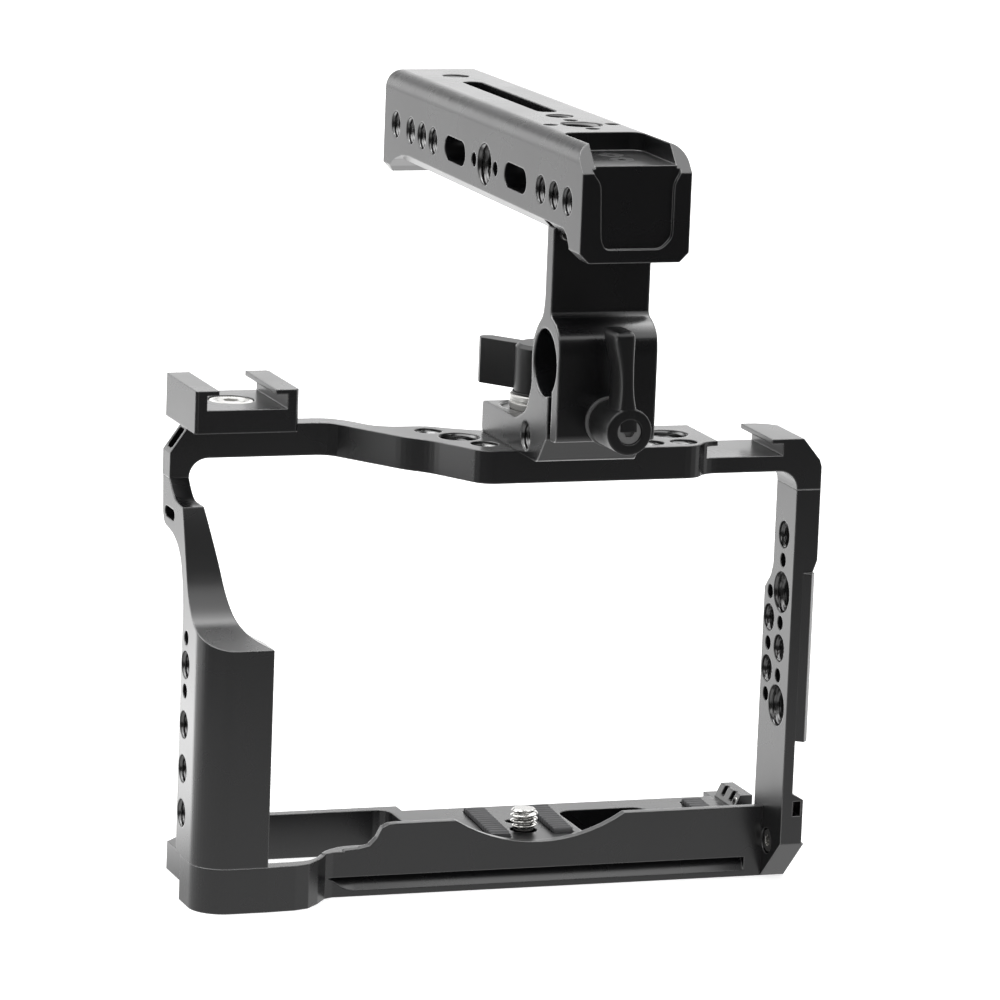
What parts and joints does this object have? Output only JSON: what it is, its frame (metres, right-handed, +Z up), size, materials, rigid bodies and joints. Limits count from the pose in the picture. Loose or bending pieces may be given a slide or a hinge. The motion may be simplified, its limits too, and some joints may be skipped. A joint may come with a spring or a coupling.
{
  "type": "camera cage with top handle",
  "caption": "Bolted camera cage with a side grip, accessory shoes, a rod clamp with a pull-out lever, and a slotted top handle.",
  "frame": {"origin": "axis of the camera screw, at the top of the pads that the camera stands on", "axes": "+Z up along the camera screw, -Y the way the lens looks, +X to the right seen from the front"},
  "size_m": [0.1438, 0.1365, 0.1782],
  "materials": {
    "frame": "fine blasted black anodising",
    "steel": "turned and lightly polished",
    "pad": "ribbed matte",
    "lever": "satin black",
    "washer": "matte"
  },
  "bodies": {
    "cage": {"base_plate": "frame", "side_plate_right": "frame", "locating_block": "frame", "grip_side_plate": "frame", "top_plate": "frame", "cold_shoe_left": "frame", "mount_body": "frame", "top_handle": "frame", "pad_left": "pad", "pad_middle": "pad", "pad_right": "pad", "foot_screw": "steel", "block_pin": "steel", "cold_shoe_screw": "steel", "stem_pin": "steel", "mount_pins": "steel", "joint_studs": "steel", "side_screws": "steel", "grip_screws": "steel", "handle_screws": "steel"},
    "camera_screw": {"camera_screw": "steel"},
    "thumb_screw": {"mount_spindle": "steel", "flag_washer": "washer", "flag_lever": "lever"},
    "clamp_screw": {"clamp_stud": "steel"},
    "clamp_handle": {"clamp_lever": "lever"}
  },
  "joints": [
    {"name": "camera_screw_turn", "type": "hinge", "parent": "cage", "child": "camera_screw", "pos_m": [0, 0, 0], "axis": [0, 0, 1], "continuous": true},
    {"name": "thumb_screw_turn", "type": "hinge", "parent": "cage", "child": "thumb_screw", "pos_m": [-0.0038, -0.013, 0.1003], "axis": [0, 0, 1], "continuous": true},
    {"name": "clamp_screw_turn", "type": "hinge", "parent": "cage", "child": "clamp_screw", "pos_m": [-0.003, -0.0531, 0.1042], "axis": [0, -1, 0], "range_deg": [0, 180]},
    {"name": "clamp_handle_pull", "type": "slide", "parent": "clamp_screw", "child": "clamp_handle", "axis": [0, -1, 0], "range_m": [0, 0.0025], "stiffness_N_per_m": 400, "springref_m": -0.002}
  ]
}
